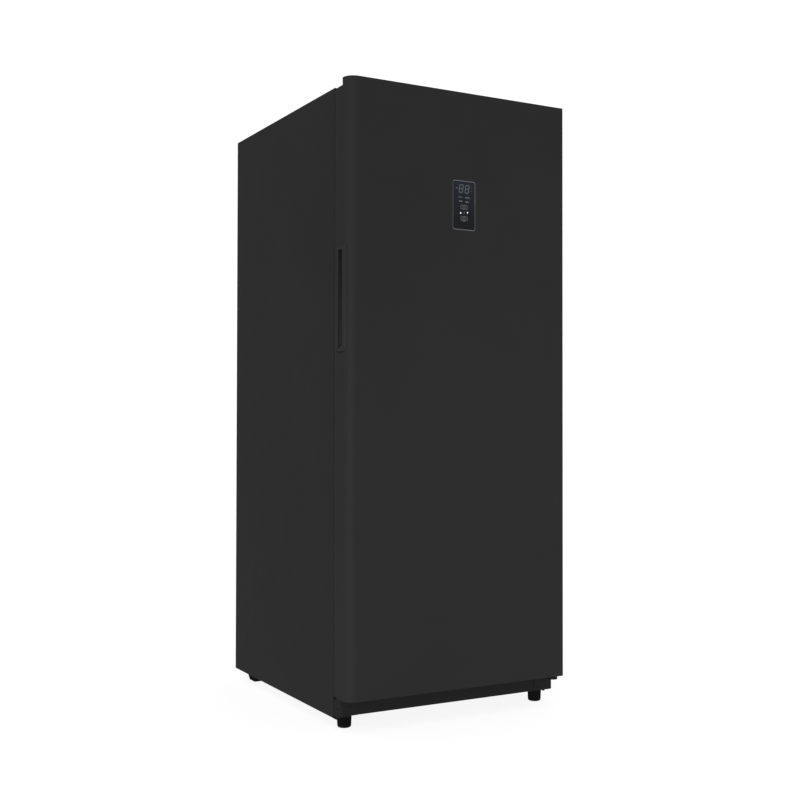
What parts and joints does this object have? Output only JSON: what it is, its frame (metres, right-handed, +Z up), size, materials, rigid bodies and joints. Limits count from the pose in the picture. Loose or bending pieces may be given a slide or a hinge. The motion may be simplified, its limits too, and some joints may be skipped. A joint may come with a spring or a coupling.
{
  "type": "upright freezer",
  "caption": "Free-standing upright freezer with a right-hinged door, pocket handle, small display, glass shelves, door bins and a pull-out basket.",
  "frame": {"origin": "On the floor, under the middle of the whole freezer's width and depth", "axes": "+Z up, the door faces -Y, +X towards the hinges"},
  "size_m": [0.63, 0.7206, 1.561],
  "materials": {
    "case_steel": "satin",
    "door_steel": "satin",
    "handle_plastic": "satin",
    "trim_plastic": "matte",
    "bracket_steel": "satin",
    "galvanised_steel": "satin",
    "foam": "matte",
    "liner_plastic": "satin",
    "white_plastic": "satin",
    "seal_vinyl": "matte",
    "rubber": "matte",
    "compressor_steel": "satin",
    "copper": "satin",
    "aluminium": "satin",
    "shelf_glass": "polished",
    "clear_plastic": "gloss",
    "display_rim": "satin",
    "display_glass": "gloss",
    "circuit_board": "satin"
  },
  "bodies": {
    "cabinet": {"cabinet_shell": "case_steel", "back_panel": "galvanised_steel", "deck_panel": "galvanised_steel", "insulation": "foam", "liner": "liner_plastic", "front_rail": "bracket_steel", "rear_cross_plate": "galvanised_steel", "kick_plate": "trim_plastic", "corner_bracket_left": "bracket_steel", "hinge_bracket_lower": "bracket_steel", "hinge_bracket_upper": "bracket_steel", "hinge_cover_upper": "trim_plastic", "hinge_pin_upper": "galvanised_steel", "hinge_pin_lower": "galvanised_steel", "rear_foot_left": "rubber", "rear_foot_right": "rubber", "compressor": "compressor_steel", "relay_cover": "trim_plastic", "drip_tray": "trim_plastic", "filter_drier": "copper", "refrigerant_pipe": "copper", "control_box": "trim_plastic", "machine_cover": "trim_plastic", "cord_gland": "rubber", "evaporator_cover": "white_plastic", "evaporator_coil": "aluminium", "defrost_heater": "aluminium", "drain_tube": "trim_plastic", "fan_motor": "trim_plastic", "lamp": "clear_plastic", "shelf_pane_1": "shelf_glass", "shelf_pane_2": "shelf_glass", "shelf_pane_3": "shelf_glass", "shelf_pane_4": "shelf_glass", "shelf_trim_1": "white_plastic", "shelf_trim_2": "white_plastic", "shelf_trim_3": "white_plastic", "shelf_trim_4": "white_plastic", "basket_runner_left": "white_plastic", "basket_runner_right": "white_plastic"},
    "door": {"door_skin": "door_steel", "door_cap_top": "trim_plastic", "door_cap_bottom": "trim_plastic", "door_foam": "foam", "door_liner": "liner_plastic", "door_seal": "seal_vinyl", "handle_insert": "handle_plastic", "hinge_bush_upper": "white_plastic", "hinge_bush_lower": "white_plastic", "display_bezel": "display_rim", "display_window": "display_glass", "display_board": "circuit_board", "door_bin_1": "clear_plastic", "door_bin_2": "clear_plastic", "door_bin_3": "clear_plastic", "door_bin_4": "clear_plastic"},
    "basket": {"basket": "clear_plastic"},
    "fan": {"fan_rotor": "white_plastic"},
    "foot_left": {"levelling_foot_left": "rubber"},
    "foot_right": {"levelling_foot_right": "rubber"}
  },
  "joints": [
    {"name": "door_swing", "type": "hinge", "parent": "cabinet", "child": "door", "pos_m": [0.3012, -0.3157, 0], "axis": [0, 0, 1], "range_deg": [0, 120]},
    {"name": "basket_slide", "type": "slide", "parent": "cabinet", "child": "basket", "axis": [0, -1, 0], "range_m": [0, 0.22]},
    {"name": "fan_spin", "type": "hinge", "parent": "cabinet", "child": "fan", "pos_m": [0, 0.25, 0.798], "axis": [0, 1, 0], "continuous": true},
    {"name": "foot_left_height", "type": "slide", "parent": "cabinet", "child": "foot_left", "axis": [0, 0, 1], "range_m": [-0.012, 0.006]},
    {"name": "foot_right_height", "type": "slide", "parent": "cabinet", "child": "foot_right", "axis": [0, 0, 1], "range_m": [-0.012, 0.006]}
  ],
  "couplings": [
    {"joint": "basket_slide", "follows": "door_swing", "m_per_rad": 0.10504}
  ]
}
